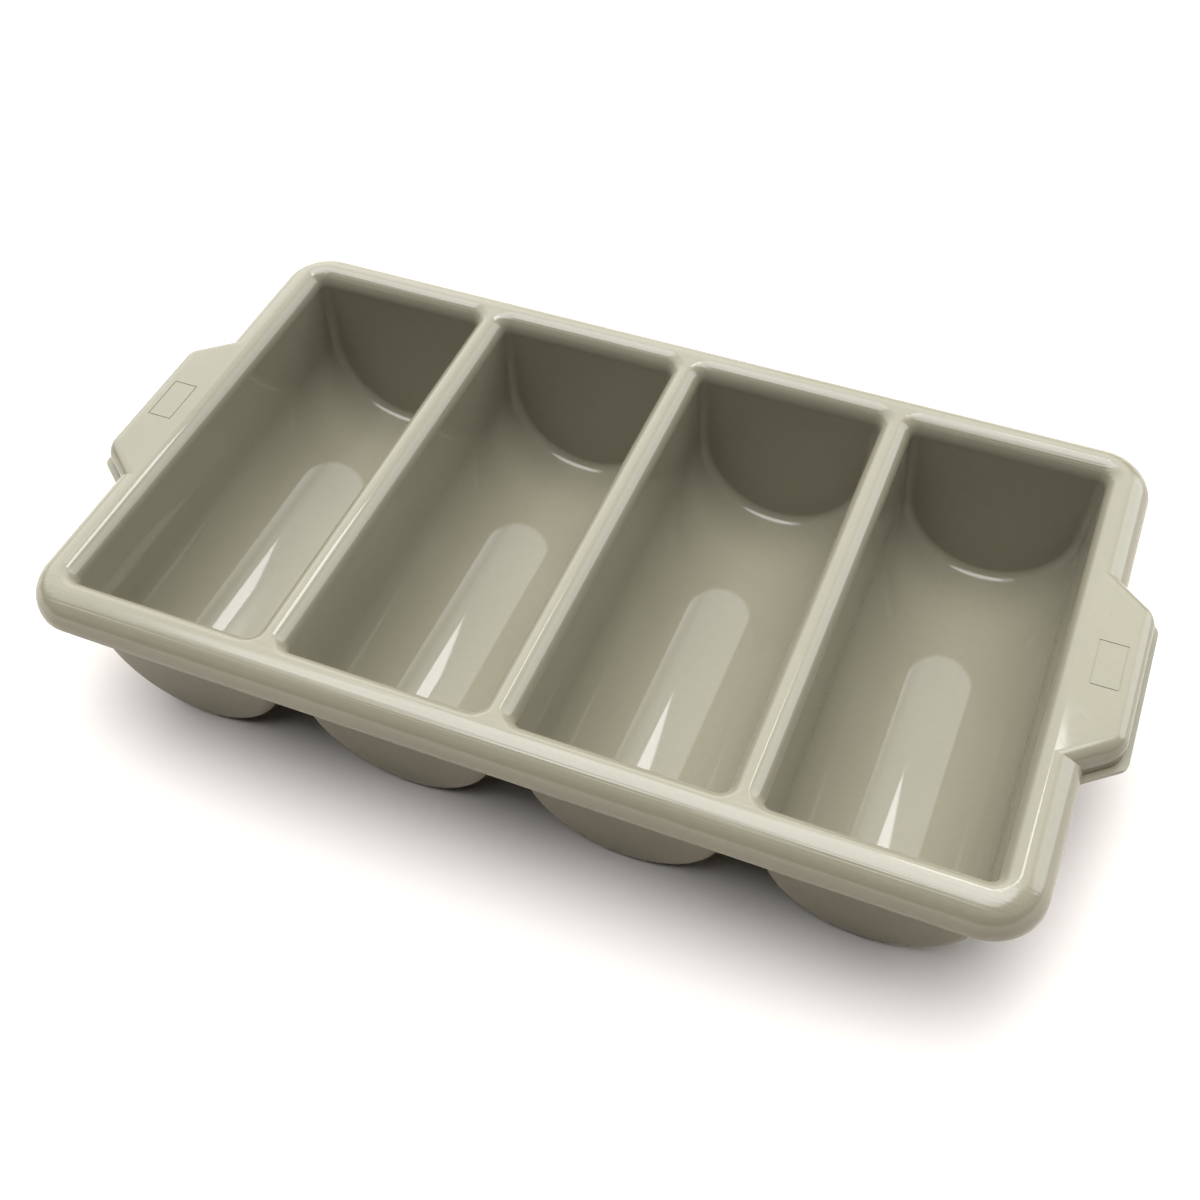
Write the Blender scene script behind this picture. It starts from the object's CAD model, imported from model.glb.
"""Looks of a moulded plastic cutlery box.

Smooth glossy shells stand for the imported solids, in a white studio and before the photograph's camera.
"""

import logging
import math
from collections.abc import Callable
from dataclasses import dataclass
from enum import Enum

import bmesh
import bpy
from bmesh.types import BMEdge, BMesh, BMFace, BMVert
from bpy.types import Material, NodeSocket, NodeTree, Object
from mathutils import Matrix, Quaternion, Vector


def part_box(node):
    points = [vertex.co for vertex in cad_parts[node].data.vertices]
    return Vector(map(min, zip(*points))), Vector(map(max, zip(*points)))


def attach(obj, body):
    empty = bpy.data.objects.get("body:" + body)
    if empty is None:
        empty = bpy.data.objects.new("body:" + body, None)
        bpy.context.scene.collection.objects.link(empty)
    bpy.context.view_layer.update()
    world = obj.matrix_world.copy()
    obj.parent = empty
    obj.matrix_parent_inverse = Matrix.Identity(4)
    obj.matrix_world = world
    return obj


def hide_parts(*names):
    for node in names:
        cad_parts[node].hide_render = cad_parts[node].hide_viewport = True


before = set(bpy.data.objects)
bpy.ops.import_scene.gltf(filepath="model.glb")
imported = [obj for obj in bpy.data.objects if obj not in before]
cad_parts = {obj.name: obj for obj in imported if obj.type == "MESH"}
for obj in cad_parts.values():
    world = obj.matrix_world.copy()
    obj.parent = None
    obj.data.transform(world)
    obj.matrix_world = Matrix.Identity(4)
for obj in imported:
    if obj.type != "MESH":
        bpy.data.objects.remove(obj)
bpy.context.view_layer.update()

MM = 0.001
TOUCH = 1e-6  # metres; places nearer than this are the same
BODY = "root"
COMPARTMENTS = 4

Pair = tuple[float, float]
Triple = tuple[float, float, float]

log = logging.getLogger("cutlery_box")


class Side(Enum):
    """Short side of the box, as the sign of its x."""

    LEFT = -1
    RIGHT = 1


class End(Enum):
    """Long side of the box, as the sign of its y."""

    FRONT = -1
    BACK = 1


class Rounded(Enum):
    """What a bevel rounds, in the words of bmesh."""

    EDGES = "EDGES"
    CORNERS = "VERTICES"


class Join(Enum):
    """How two values are joined, in the words of the Math node."""

    ADD = "ADD"
    MULTIPLY = "MULTIPLY"
    MAXIMUM = "MAXIMUM"


@dataclass(frozen=True)
class MouldingSizes:
    """Sizes that several pieces share, in metres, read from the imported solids."""

    crest_z: float
    crest_x: float
    crest_y: float
    crest_r: float
    roll_r: float
    rim_depth: float
    lip_width: float
    lip_height: float
    wall: float

    @classmethod
    def from_frame(cls) -> "MouldingSizes":
        """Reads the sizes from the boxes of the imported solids.

        Returns:
            The sizes of the moulding.
        """
        rim_low, rim_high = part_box("front_rim")
        corner_low, corner_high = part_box("front_right_corner")
        lip_low, lip_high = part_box("lip_1")
        trough_low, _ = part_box("compartment_1")
        top_low, top_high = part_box("divider_1")
        roll_r = rim_high.y - rim_low.y
        wall = top_high.z - top_low.z
        return cls(
            crest_z=rim_high.z,
            crest_x=corner_high.x - roll_r,
            crest_y=-rim_high.y,
            crest_r=corner_high.x - corner_low.x - roll_r,
            roll_r=roll_r,
            rim_depth=rim_high.z - rim_low.z,
            lip_width=trough_low.x - lip_low.x + wall,
            lip_height=lip_high.z - lip_low.z,
            wall=wall,
        )

    @property
    def lip_z(self) -> float:
        """Height where a compartment's wall runs into its lip."""
        return self.crest_z - self.lip_height

    @property
    def roll_z(self) -> float:
        """Height of the middle of the rim's roll."""
        return self.crest_z - self.roll_r

    @property
    def rim_low_z(self) -> float:
        """Height of the rim's lower edge."""
        return self.crest_z - self.rim_depth


def eased_turn(turn: float, steps: int) -> list[float]:
    """Divides a turn into steps that crowd together at both ends.

    The short steps at the ends make the shading of two pieces agree where their surfaces run on.

    Args:
        turn: The whole angle, in radians.
        steps: How many steps it is divided into.

    Returns:
        The angles from 0 to turn.
    """
    return [turn * (1 - math.cos(math.pi * i / steps)) / 2 for i in range(steps + 1)]


def pull(bm: BMesh, edges: list[BMEdge]) -> tuple[list[BMEdge], list[BMVert]]:
    """Extrudes edges in place.

    Args:
        bm: The mesh that holds the edges.
        edges: The edges to extrude.

    Returns:
        The new edges and the new vertices, still on top of the old ones.
    """
    grown = bmesh.ops.extrude_edge_only(bm, edges=edges)["geom"]
    verts = [g for g in grown if isinstance(g, BMVert)]
    fresh = set(verts)
    moved = [g for g in grown if isinstance(g, BMEdge) and fresh.issuperset(g.verts)]
    return moved, verts


def crease(bm: BMesh, angle: float) -> None:
    """Smooths every face, and keeps open borders and edges that turn more than an angle sharp.

    Args:
        bm: The mesh to mark.
        angle: The least turn of a sharp edge, in radians.
    """
    for face in bm.faces:
        face.smooth = True
    for edge in bm.edges:
        edge.smooth = len(edge.link_faces) == 2 and edge.calc_face_angle(0) < angle


def round_off(
    bm: BMesh,
    geom: list[BMEdge] | list[BMVert],
    offset: float,
    segments: int,
    kind: Rounded,
) -> None:
    """Rounds edges or corners of a mesh.

    Args:
        bm: The mesh.
        geom: The edges or the vertices to round.
        offset: How far away from them the round starts.
        segments: How many steps it has.
        kind: Whether edges or corners are rounded.
    """
    bmesh.ops.bevel(
        bm,
        geom=geom,
        offset=offset,
        offset_type="OFFSET",
        segments=segments,
        profile=0.5,
        affect=kind.value,
        clamp_overlap=False,
        material=-1,
    )


def look_up(bm: BMesh, score: Callable[[BMFace], float]) -> None:
    """Turns the faces of a sheet all one way, so that one of them looks up.

    Args:
        bm: The sheet.
        score: Gives each face a number; the face with the highest looks up.
    """
    bmesh.ops.recalc_face_normals(bm, faces=bm.faces[:])
    if max(bm.faces, key=score).normal.z < 0:
        bmesh.ops.reverse_faces(bm, faces=bm.faces[:])


def publish(bm: BMesh, name: str, finish: Material, *nodes: str) -> Object:
    """Makes a mesh into a piece of the moulding.

    Args:
        bm: The finished mesh, which is freed.
        name: Name of the piece.
        finish: Its material.
        nodes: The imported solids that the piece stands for.

    Returns:
        The new object, at the origin.
    """
    mesh = bpy.data.meshes.new(name)
    bm.to_mesh(mesh)
    bm.free()
    mesh.materials.append(finish)
    piece = bpy.data.objects.new(name, mesh)
    bpy.context.scene.collection.objects.link(piece)
    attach(piece, BODY)
    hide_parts(*nodes)
    return piece


def add_wall(piece: Object, wall: float) -> None:
    """Gives a sheet its wall, on the side that its faces turn away from.

    Args:
        piece: The sheet.
        wall: Thickness of the wall.
    """
    shell = piece.modifiers.new("wall", "SOLIDIFY")
    shell.thickness = wall
    shell.offset = -1
    shell.use_quality_normals = True


@dataclass
class Compartment:
    """Trough with leaning walls and a round bottom, and the rolled lip round its mouth."""

    number: int
    sizes: MouldingSizes
    side_draft: float = math.radians(3.5)
    end_draft: float = math.radians(3.7)
    bottom_steps: int = 48
    wall_steps: int = 4
    length_steps: int = 12
    corner_steps: int = 12
    lip_steps: int = 16
    lip_cut: float = 2.5 * MM
    ridge_width: float = 0.7 * MM
    ridge_steps: int = 4
    flat_border: float = 1.5 * MM
    arc_slack: float = 0.1 * MM
    sharp_turn: float = math.radians(40)

    def __post_init__(self) -> None:
        """Reads the place of the trough from its solid."""
        low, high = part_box(f"compartment_{self.number}")
        sizes = self.sizes
        self.middle_x = (low.x + high.x) / 2
        self.half_w = (high.x - low.x) / 2 - sizes.wall
        self.half_l = sizes.crest_y - sizes.lip_width
        self.corner_r = sizes.crest_r - sizes.lip_width
        floor_z = low.z + sizes.wall
        fall = sizes.lip_z - floor_z
        lean = math.sin(self.side_draft)
        self.bottom_r = (self.half_w * math.cos(self.side_draft) - fall * lean) / (1 - lean)
        self.bottom_z = floor_z + self.bottom_r

    def build(self, finish: Material) -> Object:
        """Builds the trough and its lip as one sheet with a wall.

        Args:
            finish: Material of the moulding.

        Returns:
            The finished piece.
        """
        bm = bmesh.new()
        section = self._draw_section(bm)
        front, back = self._draw_trough(bm, section)
        self._close_ends(bm, front, back)
        self._roll_lip(bm)
        for side in self._divider_sides():
            self._square_off(bm, side)
        look_up(bm, lambda face: -face.calc_center_median().z)
        bmesh.ops.translate(bm, verts=bm.verts[:], vec=(self.middle_x, 0, 0))
        crease(bm, self.sharp_turn)
        nodes = (f"compartment_{self.number}", f"lip_{self.number}")
        piece = publish(bm, f"compartment_shell_{self.number}", finish, *nodes)
        add_wall(piece, self.sizes.wall)
        return piece

    def _divider_sides(self) -> list[Side]:
        """Lists the sides where a divider stands between this trough and the next."""
        outer = {1: Side.LEFT, COMPARTMENTS: Side.RIGHT}.get(self.number)
        return [side for side in Side if side is not outer]

    def _draw_section(self, bm: BMesh) -> list[BMEdge]:
        """Draws the round bottom and the leaning walls across the trough.

        Args:
            bm: The empty mesh.

        Returns:
            The edges of the section, at y = -1.
        """
        reach = self.bottom_r * math.cos(self.side_draft)
        height = self.bottom_z - self.bottom_r * math.sin(self.side_draft)
        first = bm.verts.new((-reach, -1, height))
        turned = bmesh.ops.spin(
            bm,
            geom=[first],
            cent=(0, -1, self.bottom_z),
            axis=(0, -1, 0),
            angle=math.pi - 2 * self.side_draft,
            steps=self.bottom_steps,
            use_duplicate=False,
        )
        last = next(g for g in turned["geom_last"] if isinstance(g, BMVert))
        for vert in (first, last):
            foot = vert.co.copy()
            top = Vector((math.copysign(self.half_w, foot.x), -1, self.sizes.lip_z))
            for step in range(1, self.wall_steps + 1):
                vert = bmesh.ops.extrude_vert_indiv(bm, verts=[vert])["verts"][0]
                vert.co = foot.lerp(top, step / self.wall_steps)
        return bm.edges[:]

    def _draw_trough(self, bm: BMesh, front: list[BMEdge]) -> tuple[list[BMEdge], list[BMEdge]]:
        """Draws the section along the trough and slants its two ends.

        Args:
            bm: The mesh with the section at y = -1.
            front: The edges of the section.

        Returns:
            The edges of the front end and of the back end.
        """
        back = front
        for _ in range(self.length_steps):
            back, verts = pull(bm, back)
            bmesh.ops.translate(bm, verts=verts, vec=(0, 2 / self.length_steps, 0))
        for vert in bm.verts:
            vert.co.y *= self.half_l - (self.sizes.lip_z - vert.co.z) * math.tan(self.end_draft)
        return front, back

    def _close_ends(self, bm: BMesh, *ends: list[BMEdge]) -> None:
        """Closes both ends with a flat wall and rounds the walls into the trough.

        Args:
            bm: The open trough.
            ends: The edges of each end.
        """
        for edges in ends:
            verts = {vert for edge in edges for vert in edge.verts}
            tops = sorted(verts, key=lambda vert: vert.co.z)[-2:]
            brow = bm.edges.new(tops)
            bmesh.ops.edgeloop_fill(bm, edges=[*edges, brow])
        bends = [edge for edges in ends for edge in edges]
        round_off(bm, bends, self.corner_r, self.corner_steps, Rounded.EDGES)
        walls = [face for face in bm.faces if len(face.verts) > 4]
        bmesh.ops.inset_individual(bm, faces=walls, thickness=self.flat_border, use_even_offset=True)

    def _ring_point(self, vert: BMVert, radius: float) -> Vector:
        """Finds the place of a vertex of the mouth on a round-cornered rectangle.

        Args:
            vert: The vertex.
            radius: Corner radius of the rectangle.

        Returns:
            The place in the plan, relative to the middle of the trough.
        """
        corner = (self.half_w - self.corner_r, self.half_l - self.corner_r)
        inner = Vector([max(-far, min(far, way)) for far, way in zip(corner, vert.co.xy)])
        return inner + (vert.co.xy - inner).normalized() * radius

    def _roll_lip(self, bm: BMesh) -> None:
        """Rolls the top of the walls outwards up to the crest.

        Args:
            bm: The trough, open at its mouth.
        """
        edges = [edge for edge in bm.edges if edge.is_boundary]
        verts = list({vert for edge in edges for vert in edge.verts})
        for number, (out, up) in enumerate(self._lip_outline()):
            if number:
                edges, verts = pull(bm, edges)
            for vert in verts:
                vert.co = (*self._ring_point(vert, self.corner_r + out), self.sizes.lip_z + up)

    def _lip_outline(self) -> list[Pair]:
        """Draws the lip across: an oval roll that is cut before its top, and a soft ridge at the crest.

        Returns:
            How far out and how far up each point lies from the top of the wall.
        """
        sizes = self.sizes
        oval_width = sizes.lip_width + self.lip_cut
        turn = math.acos((self.lip_cut + self.ridge_width) / oval_width)
        slope = 1 / math.tan(turn) * sizes.lip_height / oval_width
        points = [
            (oval_width * (1 - math.cos(angle)), sizes.lip_height * math.sin(angle))
            for angle in eased_turn(turn, self.lip_steps)
        ]
        foot_out, foot_up = points[-1]
        for step in range(1, self.ridge_steps + 1):
            way = step / self.ridge_steps
            rise = slope * self.ridge_width * (way - way**2 / 2)
            points.append((foot_out + way * self.ridge_width, foot_up + rise))
        stretch = sizes.lip_height / points[-1][1]
        return [(out, up * stretch) for out, up in points]

    def _square_off(self, bm: BMesh, side: Side) -> None:
        """Fills the round corners of the crest out to the straight edge of a divider.

        Args:
            bm: The trough with its lip.
            side: The side of the divider.
        """
        sizes = self.sizes
        arc_x = self.half_w - self.corner_r - self.arc_slack
        arc_y = self.half_l - self.corner_r - self.arc_slack
        corner_x = side.value * (self.half_w + sizes.lip_width)
        for end in End:
            arc = [
                edge
                for edge in bm.edges
                if edge.is_boundary
                and all(vert.co.x * side.value > arc_x for vert in edge.verts)
                and all(vert.co.y * end.value > arc_y for vert in edge.verts)
            ]
            corner = (corner_x, end.value * sizes.crest_y, sizes.crest_z)
            bmesh.ops.pointmerge(bm, verts=pull(bm, arc)[1], merge_co=corner)


@dataclass
class DividerTop:
    """Flat top of a divider between two lips."""

    number: int
    sizes: MouldingSizes
    length_steps: int = 24
    sharp_turn: float = math.radians(40)

    def build(self, finish: Material) -> Object:
        """Builds the strip between the two lips.

        Args:
            finish: Material of the moulding.

        Returns:
            The finished piece.
        """
        low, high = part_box(f"divider_{self.number}")
        half = (high - low) / 2
        middle = (high + low) / 2
        bm = bmesh.new()
        bmesh.ops.create_grid(bm, x_segments=2, y_segments=self.length_steps, size=1)
        bmesh.ops.scale(bm, verts=bm.verts[:], vec=(half.x, half.y, 1))
        bmesh.ops.translate(bm, verts=bm.verts[:], vec=(middle.x, middle.y, high.z))
        crease(bm, self.sharp_turn)
        piece = publish(bm, f"divider_top_{self.number}", finish, f"divider_{self.number}")
        add_wall(piece, self.sizes.wall)
        return piece


@dataclass(frozen=True)
class LugSizes:
    """Sizes of a grip lug, in metres."""

    reach: float = 15 * MM
    length: float = 104 * MM
    slant: float = math.radians(38.7)
    edge_r: float = 7 * MM
    flange_width: float = 3 * MM
    flange_thick: float = 2.2 * MM
    flange_corner_r: float = 6 * MM
    label_length: float = 27 * MM
    label_width: float = 13.4 * MM
    label_inset: float = 1 * MM
    groove_width: float = 0.6 * MM
    groove_depth: float = 0.3 * MM

    def end_y(self, beyond: float, grow: float = 0) -> float:
        """Finds where the slanted end of the lug lies.

        Args:
            beyond: Distance outside the face of the rim.
            grow: How far the end is moved outwards, square to itself.

        Returns:
            The distance from the middle of the lug along the rim.
        """
        return self.length / 2 - beyond * math.tan(self.slant) + grow / math.cos(self.slant)

    def edge_inset(self, below: float) -> float:
        """Finds how far the rounded top edge draws the wall in at a depth under the crest."""
        drop = max(self.edge_r - max(below, 0), 0)
        return self.edge_r - math.sqrt(self.edge_r**2 - drop**2)


@dataclass
class RimHalf:
    """Front or back half of the rolled rim, from one handle round two corners to the other."""

    end: End
    sizes: MouldingSizes
    lug: LugSizes
    roll_steps: int = 24
    corner_steps: int = 24
    side_steps: int = 6
    long_steps: int = 24
    edge_r: float = 0.9 * MM
    edge_steps: int = 4
    sharp_turn: float = math.radians(35)

    def build(self, finish: Material) -> Object:
        """Builds the half rim by sweeping its outline along the crest.

        Args:
            finish: Material of the moulding.

        Returns:
            The finished piece.
        """
        sizes = self.sizes
        straight_x = sizes.crest_x - sizes.crest_r
        straight_y = sizes.crest_y - sizes.crest_r
        bm = bmesh.new()
        first = self._draw_outline(bm)
        edges = self._run(bm, first, Vector((0, -straight_y, 0)), self.side_steps)
        edges = self._turn(bm, edges, Vector((straight_x, -straight_y, 0)))
        edges = self._run(bm, edges, Vector((-2 * straight_x, 0, 0)), self.long_steps)
        edges = self._turn(bm, edges, Vector((-straight_x, -straight_y, 0)))
        last = self._run(bm, edges, Vector((0, straight_y, 0)), self.side_steps)
        self._meet_lugs(bm, straight_y)
        for ring in (first, last):
            bmesh.ops.edgeloop_fill(bm, edges=ring)
        if self.end is End.BACK:
            bmesh.ops.scale(bm, verts=bm.verts[:], vec=(1, -1, 1))
        bmesh.ops.recalc_face_normals(bm, faces=bm.faces[:])
        crease(bm, self.sharp_turn)
        name = self.end.name.lower()
        nodes = (f"{name}_rim", f"{name}_left_corner", f"{name}_right_corner")
        return publish(bm, f"{name}_rim_roll", finish, *nodes)

    def _draw_outline(self, bm: BMesh) -> list[BMEdge]:
        """Draws the outline of the rim across the middle of the right side.

        Args:
            bm: The empty mesh.

        Returns:
            The edges of the closed outline.
        """
        sizes = self.sizes
        inner_r = sizes.roll_r - sizes.wall
        lower = sizes.roll_z - sizes.rim_low_z - self.edge_r
        roll = eased_turn(math.pi / 2, self.roll_steps)
        points = [self._on_arc(sizes.roll_r, turn) for turn in roll]
        for edge_x, start in ((sizes.roll_r - self.edge_r, 0.0), (inner_r + self.edge_r, math.pi / 2)):
            for step in range(self.edge_steps + 1):
                turn = start + math.pi / 2 * step / self.edge_steps
                out = edge_x + self.edge_r * math.cos(turn)
                down = lower + self.edge_r * math.sin(turn)
                points.append((out, -down))
        points += [self._on_arc(inner_r, turn) for turn in reversed(roll)]
        verts = [bm.verts.new((sizes.crest_x + x, 0, sizes.roll_z + z)) for x, z in points]
        return [bm.edges.new((verts[i - 1], verts[i])) for i in range(len(verts))]

    @staticmethod
    def _on_arc(radius: float, turn: float) -> Pair:
        """Finds the point of the roll at an angle from its crest."""
        return radius * math.sin(turn), radius * math.cos(turn)

    @staticmethod
    def _run(bm: BMesh, edges: list[BMEdge], way: Vector, steps: int) -> list[BMEdge]:
        """Sweeps the outline straight on.

        Args:
            bm: The mesh.
            edges: The last outline.
            way: The whole way to go.
            steps: How many steps it takes.

        Returns:
            The outline at the far end.
        """
        for _ in range(steps):
            edges, verts = pull(bm, edges)
            bmesh.ops.translate(bm, verts=verts, vec=way / steps)
        return edges

    def _turn(self, bm: BMesh, edges: list[BMEdge], middle: Vector) -> list[BMEdge]:
        """Sweeps the outline round a corner of the rim.

        Args:
            bm: The mesh.
            edges: The last outline.
            middle: Middle of the corner.

        Returns:
            The outline after the corner.
        """
        verts = list({vert for edge in edges for vert in edge.verts})
        turned = bmesh.ops.spin(
            bm,
            geom=[*verts, *edges],
            cent=middle,
            axis=(0, 0, -1),
            angle=math.pi / 2,
            steps=self.corner_steps,
            use_duplicate=False,
        )
        return [g for g in turned["geom_last"] if isinstance(g, BMEdge)]

    def _meet_lugs(self, bm: BMesh, straight_y: float) -> None:
        """Draws the short sides together so that they end on the slanted ends of the lugs.

        Args:
            bm: The swept half rim.
            straight_y: Where the short sides start, from the middle of the box.
        """
        sizes = self.sizes
        for vert in bm.verts:
            if vert.co.y > -straight_y:
                beyond = abs(vert.co.x) - sizes.crest_x - sizes.roll_r
                inset = self.lug.edge_inset(sizes.crest_z - vert.co.z)
                end_y = self.lug.end_y(beyond, -inset)
                vert.co.y = -end_y + (vert.co.y / straight_y) * (straight_y - end_y)


@dataclass
class GripLug:
    """Hollow lug on a short side, with a flange round its foot and a bare label frame on top."""

    side: Side
    sizes: MouldingSizes
    lug: LugSizes
    edge_steps: int = 10
    trim_steps: int = 8
    trim_margin: float = 1 * MM
    sharp_turn: float = math.radians(35)

    def __post_init__(self) -> None:
        """Works out the plan of the lug on the right side."""
        self.face_x = self.sizes.crest_x + self.sizes.roll_r
        self.outer_x = self.face_x + self.lug.reach

    def build(self, finish: Material) -> Object:
        """Builds the lug and its flange.

        Args:
            finish: Material of the moulding.

        Returns:
            The finished piece.
        """
        bm = bmesh.new()
        self._draw_hood(bm)
        self._trim_foot(bm)
        self._thicken(bm)
        self._engrave_label(bm)
        self._add_flange(bm)
        if self.side is Side.LEFT:
            bmesh.ops.scale(bm, verts=bm.verts[:], vec=(-1, 1, 1))
            bmesh.ops.reverse_faces(bm, faces=bm.faces[:])
        crease(bm, self.sharp_turn)
        name = self.side.name.lower()
        return publish(bm, f"{name}_grip_lug", finish, f"{name}_handle")

    @staticmethod
    def _draw_plate(bm: BMesh, inner: Pair, outer: Pair, height: float) -> BMFace:
        """Draws a level plate in the plan of the lug.

        Args:
            bm: The mesh.
            inner: The x and the half length of its side towards the rim.
            outer: The x and the half length of its outer side.
            height: Its z.

        Returns:
            The face.
        """
        (inner_x, inner_y), (outer_x, outer_y) = inner, outer
        plan = ((inner_x, -inner_y), (outer_x, -outer_y), (outer_x, outer_y), (inner_x, inner_y))
        return bm.faces.new([bm.verts.new((x, y, height)) for x, y in plan])

    def _draw_hood(self, bm: BMesh) -> None:
        """Draws the flat top and the walls of the lug, with round edges.

        Args:
            bm: The empty mesh.
        """
        sizes, lug = self.sizes, self.lug
        inner = (sizes.crest_x, lug.end_y(-sizes.roll_r))
        outer = (self.outer_x, lug.end_y(lug.reach))
        top = self._draw_plate(bm, inner, outer, sizes.crest_z)
        walls = [edge for edge in top.edges if max(vert.co.x for vert in edge.verts) > self.face_x]
        verts = pull(bm, walls)[1]
        bmesh.ops.translate(bm, verts=verts, vec=(0, 0, -sizes.rim_depth))
        bends = [edge for edge in bm.edges if not edge.is_boundary]
        round_off(bm, bends, lug.edge_r, self.edge_steps, Rounded.EDGES)

    def _trim_foot(self, bm: BMesh) -> None:
        """Ends the slanted walls inside the roll of the rim.

        Args:
            bm: The hood of the lug.
        """
        sizes = self.sizes
        for step in range(1, self.trim_steps + 1):
            cut_x = sizes.crest_x + sizes.roll_r * step / self.trim_steps
            geom = [*bm.verts, *bm.edges, *bm.faces]
            bmesh.ops.bisect_plane(bm, geom=geom, dist=TOUCH, plane_co=(cut_x, 0, 0), plane_no=(1, 0, 0))
        sunk = set()
        for vert in bm.verts:
            inside = vert.co.x - sizes.crest_x
            if inside < sizes.roll_r - self.trim_margin:
                least = sizes.roll_z + math.sqrt(sizes.roll_r**2 - inside**2) - sizes.wall / 2
                if vert.co.z < least:
                    vert.co.z = least
                    sunk.add(vert)
        hidden = [face for face in bm.faces if sunk.issuperset(face.verts)]
        bmesh.ops.delete(bm, geom=hidden, context="FACES")

    def _thicken(self, bm: BMesh) -> None:
        """Gives the hood its wall, inwards.

        Args:
            bm: The hood of the lug.
        """
        look_up(bm, BMFace.calc_area)
        bmesh.ops.solidify(bm, geom=bm.faces[:], thickness=self.sizes.wall)

    def _engrave_label(self, bm: BMesh) -> None:
        """Engraves the outline of a bare label field in the flat top.

        Args:
            bm: The lug with its wall.
        """
        lug = self.lug
        middle_x = self.face_x - lug.label_inset
        outer = Vector((lug.label_width / 2, lug.label_length / 2))
        inner = outer - Vector((lug.groove_width, lug.groove_width))
        for half in (outer, inner):
            for sign in (-1, 1):
                self._cut_top(bm, (middle_x + sign * half.x, 0, 0), (1, 0, 0))
                self._cut_top(bm, (0, sign * half.y, 0), (0, 1, 0))
        groove = []
        for face in self._top_faces(bm):
            spot = face.calc_center_median()
            off = Vector((abs(spot.x - middle_x), abs(spot.y)))
            if off.x < outer.x and off.y < outer.y and (off.x > inner.x or off.y > inner.y):
                groove.append(face)
        sunk = bmesh.ops.extrude_face_region(bm, geom=groove)["geom"]
        bmesh.ops.delete(bm, geom=groove, context="FACES")
        verts = [g for g in sunk if isinstance(g, BMVert)]
        bmesh.ops.translate(bm, verts=verts, vec=(0, 0, -lug.groove_depth))

    def _top_faces(self, bm: BMesh) -> list[BMFace]:
        """Finds the faces of the flat top."""
        high = self.sizes.crest_z - TOUCH
        return [face for face in bm.faces if all(vert.co.z > high for vert in face.verts)]

    def _cut_top(self, bm: BMesh, place: Triple, square: Triple) -> None:
        """Cuts the faces of the flat top along a plane.

        Args:
            bm: The lug.
            place: A point of the plane.
            square: The direction square to the plane.
        """
        tops = self._top_faces(bm)
        edges = dict.fromkeys(edge for face in tops for edge in face.edges)
        verts = dict.fromkeys(vert for face in tops for vert in face.verts)
        geom = [*verts, *edges, *tops]
        bmesh.ops.bisect_plane(bm, geom=geom, dist=TOUCH, plane_co=place, plane_no=square)

    def _add_flange(self, bm: BMesh) -> None:
        """Adds the thin flange round the foot of the lug.

        Args:
            bm: The lug.
        """
        flange = bmesh.new()
        self._draw_flange(flange)
        loose = bpy.data.meshes.new("flange")
        flange.to_mesh(loose)
        flange.free()
        bm.from_mesh(loose)
        bpy.data.meshes.remove(loose)

    def _draw_flange(self, bm: BMesh) -> None:
        """Draws the flange as a plate that is open where the lug stands.

        Args:
            bm: The empty mesh of the flange.
        """
        sizes, lug = self.sizes, self.lug
        width = lug.flange_width
        root = width + sizes.wall
        inner = (self.face_x - root, lug.end_y(-root, width))
        outer = (self.outer_x + width, lug.end_y(lug.reach + width, width))
        plate = self._draw_plate(bm, inner, outer, sizes.rim_low_z + lug.flange_thick)
        corners = [vert for vert in plate.verts if vert.co.x > self.face_x]
        offset = lug.flange_corner_r * math.tan((math.pi / 2 - lug.slant) / 2)
        round_off(bm, corners, offset, self.edge_steps, Rounded.CORNERS)
        border = width + sizes.wall / 2
        bmesh.ops.inset_individual(bm, faces=bm.faces[:], thickness=border, use_even_offset=True)
        middle = max(bm.faces, key=lambda face: len(face.verts))
        bmesh.ops.delete(bm, geom=[middle], context="FACES")
        geom = [*bm.verts, *bm.edges, *bm.faces]
        foot = (self.face_x, 0, 0)
        bmesh.ops.bisect_plane(bm, geom=geom, plane_co=foot, plane_no=(1, 0, 0), clear_inner=True)
        look_up(bm, BMFace.calc_area)
        bmesh.ops.solidify(bm, geom=bm.faces[:], thickness=lug.flange_thick)


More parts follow.
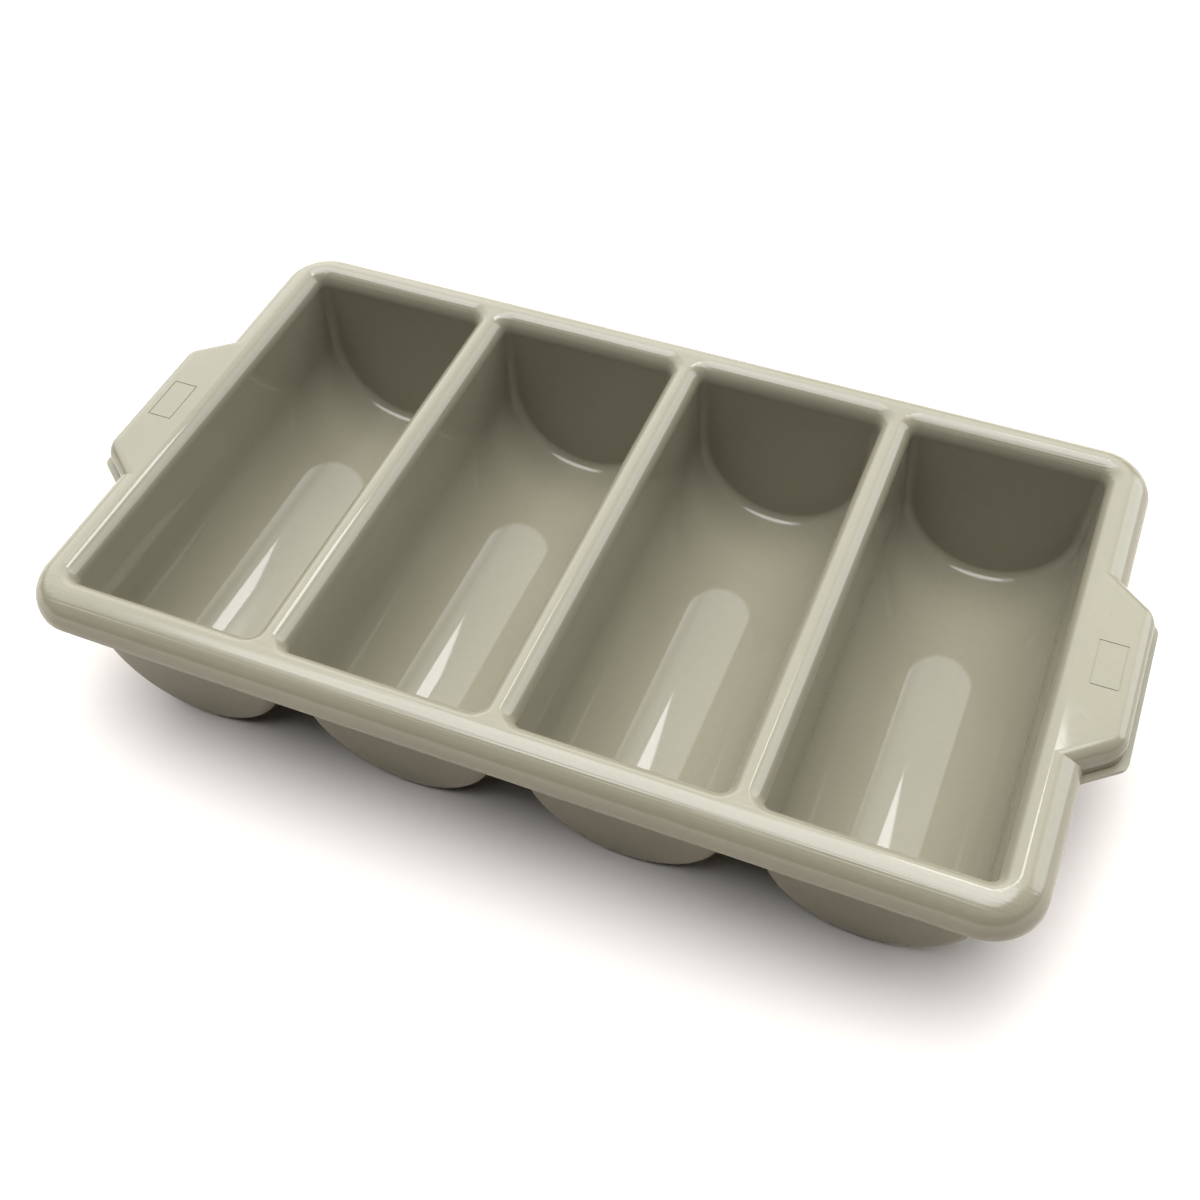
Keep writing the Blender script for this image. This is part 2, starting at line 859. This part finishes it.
class FinishNodes:
    """Node tree of a finish that is patterned on Object coordinates."""

    noise_span: Pair = (0.3, 0.7)

    def __init__(self, material: Material) -> None:
        """Starts the tree with the Object coordinates.

        Args:
            material: The material, with its nodes switched on.
        """
        self.nodes = material.node_tree.nodes
        self.links = material.node_tree.links
        self.place = self.nodes.new("ShaderNodeTexCoord").outputs["Object"]

    def cloud(self, scale: float, detail: float, place: NodeSocket | None = None) -> NodeSocket:
        """Makes soft noise.

        Args:
            scale: Clouds per metre.
            detail: How many finer layers it has.
            place: Coordinates that it lies on, or None for the piece's own.

        Returns:
            The noise, around 0.5.
        """
        noise = self.nodes.new("ShaderNodeTexNoise")
        noise.inputs["Scale"].default_value = scale
        noise.inputs["Detail"].default_value = detail
        self.links.new(place or self.place, noise.inputs["Vector"])
        return noise.outputs["Fac"]

    def vary(self, scale: float, detail: float, middle: float, share: float) -> NodeSocket:
        """Makes a value that rises and falls with soft noise.

        Args:
            scale: Clouds per metre.
            detail: How many finer layers they have.
            middle: The value between the clouds.
            share: How far it rises and falls, as a share of the middle.

        Returns:
            The varied value.
        """
        ends = (middle * (1 - share), middle * (1 + share))
        return self.remap(self.cloud(scale, detail), self.noise_span, ends)

    def remap(self, value: NodeSocket, source: Pair, target: Pair) -> NodeSocket:
        """Maps a value from one range to another.

        Args:
            value: The value.
            source: Its lowest and highest value.
            target: What these become.

        Returns:
            The mapped value, which stays inside the target.
        """
        node = self.nodes.new("ShaderNodeMapRange")
        node.inputs["From Min"].default_value, node.inputs["From Max"].default_value = source
        node.inputs["To Min"].default_value, node.inputs["To Max"].default_value = target
        self.links.new(value, node.inputs["Value"])
        return node.outputs["Result"]

    def join(self, how: Join, first: NodeSocket, second: NodeSocket) -> NodeSocket:
        """Joins two values.

        Args:
            how: What is done with them.
            first: The first value.
            second: The second value.

        Returns:
            The result.
        """
        node = self.nodes.new("ShaderNodeMath")
        node.operation = how.value
        self.links.new(first, node.inputs[0])
        self.links.new(second, node.inputs[1])
        return node.outputs["Value"]

    def distance(self, axis: str) -> NodeSocket:
        """Finds how far a point lies from the origin along one axis.

        Args:
            axis: Letter of the axis.

        Returns:
            The distance, without its sign.
        """
        parts = self.nodes.new("ShaderNodeSeparateXYZ")
        self.links.new(self.place, parts.inputs["Vector"])
        node = self.nodes.new("ShaderNodeMath")
        node.operation = "ABSOLUTE"
        self.links.new(parts.outputs[axis], node.inputs[0])
        return node.outputs["Value"]

    def streaks(self, turn: float, stretch: Triple) -> NodeSocket:
        """Makes noise that is drawn out along one direction.

        Args:
            turn: Direction of the streaks about the z axis, in radians.
            stretch: Streaks per metre along and across.

        Returns:
            The noise, around 0.5.
        """
        node = self.nodes.new("ShaderNodeMapping")
        node.vector_type = "TEXTURE"
        node.inputs["Rotation"].default_value = (0, 0, turn)
        node.inputs["Scale"].default_value = tuple(1 / count for count in stretch)
        self.links.new(self.place, node.inputs["Vector"])
        return self.cloud(scale=1, detail=2, place=node.outputs["Vector"])


@dataclass(frozen=True)
class PlasticFinish:
    """Smooth glossy moulded plastic, light grey-beige, with faint marks of use."""

    colour: Triple = (0.208, 0.191, 0.141)
    refraction: float = 1.5
    roughness: float = 0.05
    polish_scale: float = 42
    polish_share: float = 0.2
    cloud_scale: float = 14
    cloud_shade: float = 0.02
    mottle_scale: float = 300
    mottle_shade: float = 0.015
    fleck_spacing: float = 15 * MM
    fleck_size: float = 0.35 * MM
    fleck_shade: float = 0.5
    scuff_turns: Pair = (math.radians(28), math.radians(-47))
    scuff_stretch: Triple = (25, 900, 900)
    scuff_span: Pair = (0.64, 0.74)
    scuff_dullness: float = 0.10
    wave_scale: float = 26
    wave_depth: float = 0.04 * MM
    line_stretch: Triple = (4, 600, 600)
    line_depth: float = 0.2 * MM
    line_y: Pair = (121 * MM, 124.5 * MM)
    line_z: Pair = (88.5 * MM, 91 * MM)

    def material(self) -> Material:
        """Builds the material.

        Returns:
            The plastic, with clouds, flecks, scuffs, a faint waviness and mould lines.
        """
        material = bpy.data.materials.new("grey_beige_plastic")
        material.use_nodes = True
        tree = FinishNodes(material)
        shader = tree.nodes["Principled BSDF"]
        shader.inputs["IOR"].default_value = self.refraction
        tint = tree.nodes.new("ShaderNodeMix")
        tint.data_type = "RGBA"
        tint.blend_type = "MULTIPLY"
        tint.inputs["Factor"].default_value = 1
        tint.inputs["A"].default_value = (*self.colour, 1)
        tree.links.new(self._shade(tree), tint.inputs["B"])
        tree.links.new(tint.outputs["Result"], shader.inputs["Base Color"])
        tree.links.new(self._dullness(tree), shader.inputs["Roughness"])
        bump = tree.nodes.new("ShaderNodeBump")
        bump.inputs["Strength"].default_value = 1
        bump.inputs["Distance"].default_value = 1
        tree.links.new(self._relief(tree), bump.inputs["Height"])
        tree.links.new(bump.outputs["Normal"], shader.inputs["Normal"])
        return material

    def _shade(self, tree: FinishNodes) -> NodeSocket:
        """Shades the colour with clouds, a fine mottle and sparse dark flecks.

        Args:
            tree: The nodes of the material.

        Returns:
            The factor that the colour is multiplied by.
        """
        clouds = tree.vary(self.cloud_scale, detail=2, middle=1, share=self.cloud_shade)
        mottle = tree.vary(self.mottle_scale, detail=1, middle=1, share=self.mottle_shade)
        cells = tree.nodes.new("ShaderNodeTexVoronoi")
        cells.inputs["Scale"].default_value = 1 / self.fleck_spacing
        tree.links.new(tree.place, cells.inputs["Vector"])
        core = self.fleck_size / self.fleck_spacing
        flecks = tree.remap(cells.outputs["Distance"], (core / 2, core), (self.fleck_shade, 1))
        return tree.join(Join.MULTIPLY, tree.join(Join.MULTIPLY, clouds, mottle), flecks)

    def _relief(self, tree: FinishNodes) -> NodeSocket:
        """Raises wide waves everywhere, and fine mould lines along the crests of the two long sides.

        Args:
            tree: The nodes of the material.

        Returns:
            The height of the surface, in metres.
        """
        waves = tree.remap(tree.cloud(self.wave_scale, detail=1), (0, 1), (0, self.wave_depth))
        lines = tree.remap(tree.streaks(0, self.line_stretch), (0, 1), (0, self.line_depth))
        outside = tree.remap(tree.distance("Y"), self.line_y, (0, 1))
        high = tree.remap(tree.distance("Z"), self.line_z, (0, 1))
        crest = tree.join(Join.MULTIPLY, outside, high)
        return tree.join(Join.ADD, waves, tree.join(Join.MULTIPLY, lines, crest))

    def _dullness(self, tree: FinishNodes) -> NodeSocket:
        """Dulls the gloss along short fine scuffs.

        Args:
            tree: The nodes of the material.

        Returns:
            The roughness.
        """
        first, second = (
            tree.remap(tree.streaks(turn, self.scuff_stretch), self.scuff_span, (0, self.scuff_dullness))
            for turn in self.scuff_turns
        )
        polish = tree.vary(self.polish_scale, detail=2, middle=self.roughness, share=self.polish_share)
        return tree.join(Join.ADD, polish, tree.join(Join.MAXIMUM, first, second))


@dataclass(frozen=True)
class FloorFinish:
    """White matt studio floor, which throws less light back at the box than the camera sees."""

    seen: Triple = (0.67, 0.62, 0.595)
    thrown: Triple = (0.58, 0.53, 0.48)
    roughness: float = 0.9

    def material(self) -> Material:
        """Builds the material.

        Returns:
            The matt white.
        """
        material = bpy.data.materials.new("studio_white")
        material.use_nodes = True
        nodes, links = material.node_tree.nodes, material.node_tree.links
        shader = nodes["Principled BSDF"]
        shader.inputs["Roughness"].default_value = self.roughness
        shader.inputs["Specular IOR Level"].default_value = 0
        tone = nodes.new("ShaderNodeMix")
        tone.data_type = "RGBA"
        tone.inputs["A"].default_value = (*self.thrown, 1)
        tone.inputs["B"].default_value = (*self.seen, 1)
        links.new(nodes.new("ShaderNodeLightPath").outputs["Is Camera Ray"], tone.inputs["Factor"])
        links.new(tone.outputs["Result"], shader.inputs["Base Color"])
        return material


@dataclass(frozen=True)
class Canopy:
    """Round patch of lit white cloth, as the box sees it, with its angles in degrees.

    Its middle leans away from straight up and swings round from the back to the left.
    Its soft edge lies at the reach from there.
    """

    lean: float
    swing: float
    reach: float
    fade: float
    glow: float

    def axis(self) -> Triple:
        """Gives the direction of the middle of the patch."""
        lean, swing = math.radians(self.lean), math.radians(self.swing)
        return -math.sin(lean) * math.sin(swing), math.sin(lean) * math.cos(swing), math.cos(lean)

    def edge(self) -> Pair:
        """Gives the cosines of the angles where the patch ends and where it is full."""
        reach, half_fade = math.radians(self.reach), math.radians(self.fade) / 2
        return math.cos(reach + half_fade), math.cos(reach - half_fade)


@dataclass(frozen=True)
class LightTent:
    """White cloth round the box, open to the front where the camera stands.

    A broad patch lies behind on the left, the brightest overhead and a low one behind on the right.
    """

    broad: Canopy = Canopy(lean=35, swing=42, reach=52, fade=22, glow=2.4)
    overhead: Canopy = Canopy(lean=2, swing=150, reach=29, fade=8, glow=4.4)
    low: Canopy = Canopy(lean=71, swing=-47, reach=20, fade=12, glow=3.5)
    tint: Triple = (0.965, 1.0, 1.005)
    opening: float = 0.02
    backdrop: float = 1.4

    def build(self) -> None:
        """Builds the tent as the surroundings, with a plain white backdrop for the camera."""
        world = bpy.data.worlds.new("light_tent")
        world.use_nodes = True
        nodes, links = world.node_tree.nodes, world.node_tree.links
        tent = nodes["Background"]
        tent.inputs["Color"].default_value = (*self.tint, 1)
        links.new(self._glow(world.node_tree), tent.inputs["Strength"])
        paper = nodes.new("ShaderNodeBackground")
        paper.inputs["Strength"].default_value = self.backdrop
        sight = nodes.new("ShaderNodeLightPath")
        blend = nodes.new("ShaderNodeMixShader")
        links.new(sight.outputs["Is Camera Ray"], blend.inputs["Fac"])
        links.new(tent.outputs["Background"], blend.inputs[1])
        links.new(paper.outputs["Background"], blend.inputs[2])
        links.new(blend.outputs["Shader"], nodes["World Output"].inputs["Surface"])
        bpy.context.scene.world = world

    def _glow(self, tree: NodeTree) -> NodeSocket:
        """Adds up the patches of cloth and the dim light of the opening.

        Args:
            tree: The nodes of the surroundings.

        Returns:
            The brightness in each direction.
        """
        way = tree.nodes.new("ShaderNodeTexCoord").outputs["Generated"]
        canopies = (self.broad, self.overhead, self.low)
        total, *others = (self._patch(tree, way, canopy) for canopy in canopies)
        for other in others:
            both = tree.nodes.new("ShaderNodeMath")
            tree.links.new(total, both.inputs[0])
            tree.links.new(other, both.inputs[1])
            total = both.outputs["Value"]
        dim = tree.nodes.new("ShaderNodeMath")
        dim.inputs[1].default_value = self.opening
        tree.links.new(total, dim.inputs[0])
        return dim.outputs["Value"]

    @staticmethod
    def _patch(tree: NodeTree, way: NodeSocket, canopy: Canopy) -> NodeSocket:
        """Draws one patch of cloth with a soft edge.

        Args:
            tree: The nodes of the surroundings.
            way: The direction that is looked in.
            canopy: The patch.

        Returns:
            Its brightness in each direction.
        """
        facing = tree.nodes.new("ShaderNodeVectorMath")
        facing.operation = "DOT_PRODUCT"
        facing.inputs[1].default_value = canopy.axis()
        tree.links.new(way, facing.inputs[0])
        edge = tree.nodes.new("ShaderNodeMapRange")
        edge.interpolation_type = "SMOOTHSTEP"
        edge.inputs["From Min"].default_value, edge.inputs["From Max"].default_value = canopy.edge()
        edge.inputs["To Max"].default_value = canopy.glow
        tree.links.new(facing.outputs["Value"], edge.inputs["Value"])
        return edge.outputs["Result"]


@dataclass(frozen=True)
class Softbox:
    """Square lamp that faces the box, turned so that one of its corners points down."""

    name: str = "key_softbox"
    low_corner: Triple = (0.292, 0.700, 1.037)
    aim: Triple = (0, 0, 0.05)
    width: float = 0.28
    turn: float = math.radians(45)
    glow: float = 8

    def build(self) -> None:
        """Hangs the lamp with its lowest corner in its place."""
        data = bpy.data.lights.new(self.name, "AREA")
        data.shape = "SQUARE"
        data.size = self.width
        data.energy = self.glow * math.pi * self.width**2
        lamp = bpy.data.objects.new(self.name, data)
        corner = Vector(self.low_corner)
        facing = (Vector(self.aim) - corner).to_track_quat("-Z", "Y")
        spin = facing @ Quaternion((0, 0, 1), self.turn)
        lamp.rotation_mode = "QUATERNION"
        lamp.rotation_quaternion = spin
        lamp.location = corner + spin @ Vector((self.width / 2, self.width / 2, 0))
        bpy.context.scene.collection.objects.link(lamp)


@dataclass(frozen=True)
class Studio:
    """White floor, light tent and lamp."""

    floor_size: float = 8.0
    floor_finish: FloorFinish = FloorFinish()
    tent: LightTent = LightTent()
    lamp: Softbox = Softbox()

    def build(self) -> None:
        """Builds the floor, the surroundings and the lamp."""
        bm = bmesh.new()
        bmesh.ops.create_grid(bm, x_segments=1, y_segments=1, size=self.floor_size / 2)
        mesh = bpy.data.meshes.new("studio_floor")
        bm.to_mesh(mesh)
        bm.free()
        mesh.materials.append(self.floor_finish.material())
        floor = bpy.data.objects.new("studio_floor", mesh)
        bpy.context.scene.collection.objects.link(floor)
        self.tent.build()
        self.lamp.build()
        bpy.context.scene.view_settings.view_transform = "Standard"


@dataclass(frozen=True)
class PhotoCamera:
    """Camera at the photograph's viewing angle."""

    yaw: float = math.radians(23.80)
    rise: float = math.radians(49.80)
    roll: float = math.radians(2.02)
    distance: float = 708.59 * MM
    aim_x: float = 18.762 * MM
    aim_y: float = -46.869 * MM
    lens: float = 45.58
    sensor: float = 36.0

    def build(self, aim_z: float) -> None:
        """Places the camera.

        Args:
            aim_z: Height of the point that it looks at.
        """
        back = Vector(
            (
                math.sin(self.yaw) * math.cos(self.rise),
                -math.cos(self.yaw) * math.cos(self.rise),
                math.sin(self.rise),
            )
        )
        right = Vector((0, 0, 1)).cross(back).normalized()
        up = back.cross(right)
        turned_right = math.cos(self.roll) * right - math.sin(self.roll) * up
        turned_up = math.sin(self.roll) * right + math.cos(self.roll) * up
        place = Vector((self.aim_x, self.aim_y, aim_z)) + back * self.distance
        data = bpy.data.cameras.new("photo_camera")
        data.lens = self.lens
        data.sensor_width = self.sensor
        camera = bpy.data.objects.new("photo_camera", data)
        turn = Matrix((turned_right, turned_up, back)).transposed().to_4x4()
        camera.matrix_world = Matrix.Translation(place) @ turn
        bpy.context.scene.collection.objects.link(camera)
        bpy.context.scene.camera = camera


def main() -> None:
    """Builds the camera, the pieces of the box and the studio."""
    logging.basicConfig(level=logging.INFO, format="%(name)s: %(message)s")
    sizes = MouldingSizes.from_frame()
    lug = LugSizes()
    PhotoCamera().build(sizes.crest_z)
    plastic = PlasticFinish().material()
    parts = [
        *(Compartment(number, sizes) for number in range(1, COMPARTMENTS + 1)),
        *(DividerTop(number, sizes) for number in range(1, COMPARTMENTS)),
        *(RimHalf(end, sizes, lug) for end in End),
        *(GripLug(side, sizes, lug) for side in Side),
    ]
    for part in parts:
        piece = part.build(plastic)
        log.info("%s: %d faces", piece.name, len(piece.data.polygons))
    Studio().build()


if __name__ == "__main__":
    main()
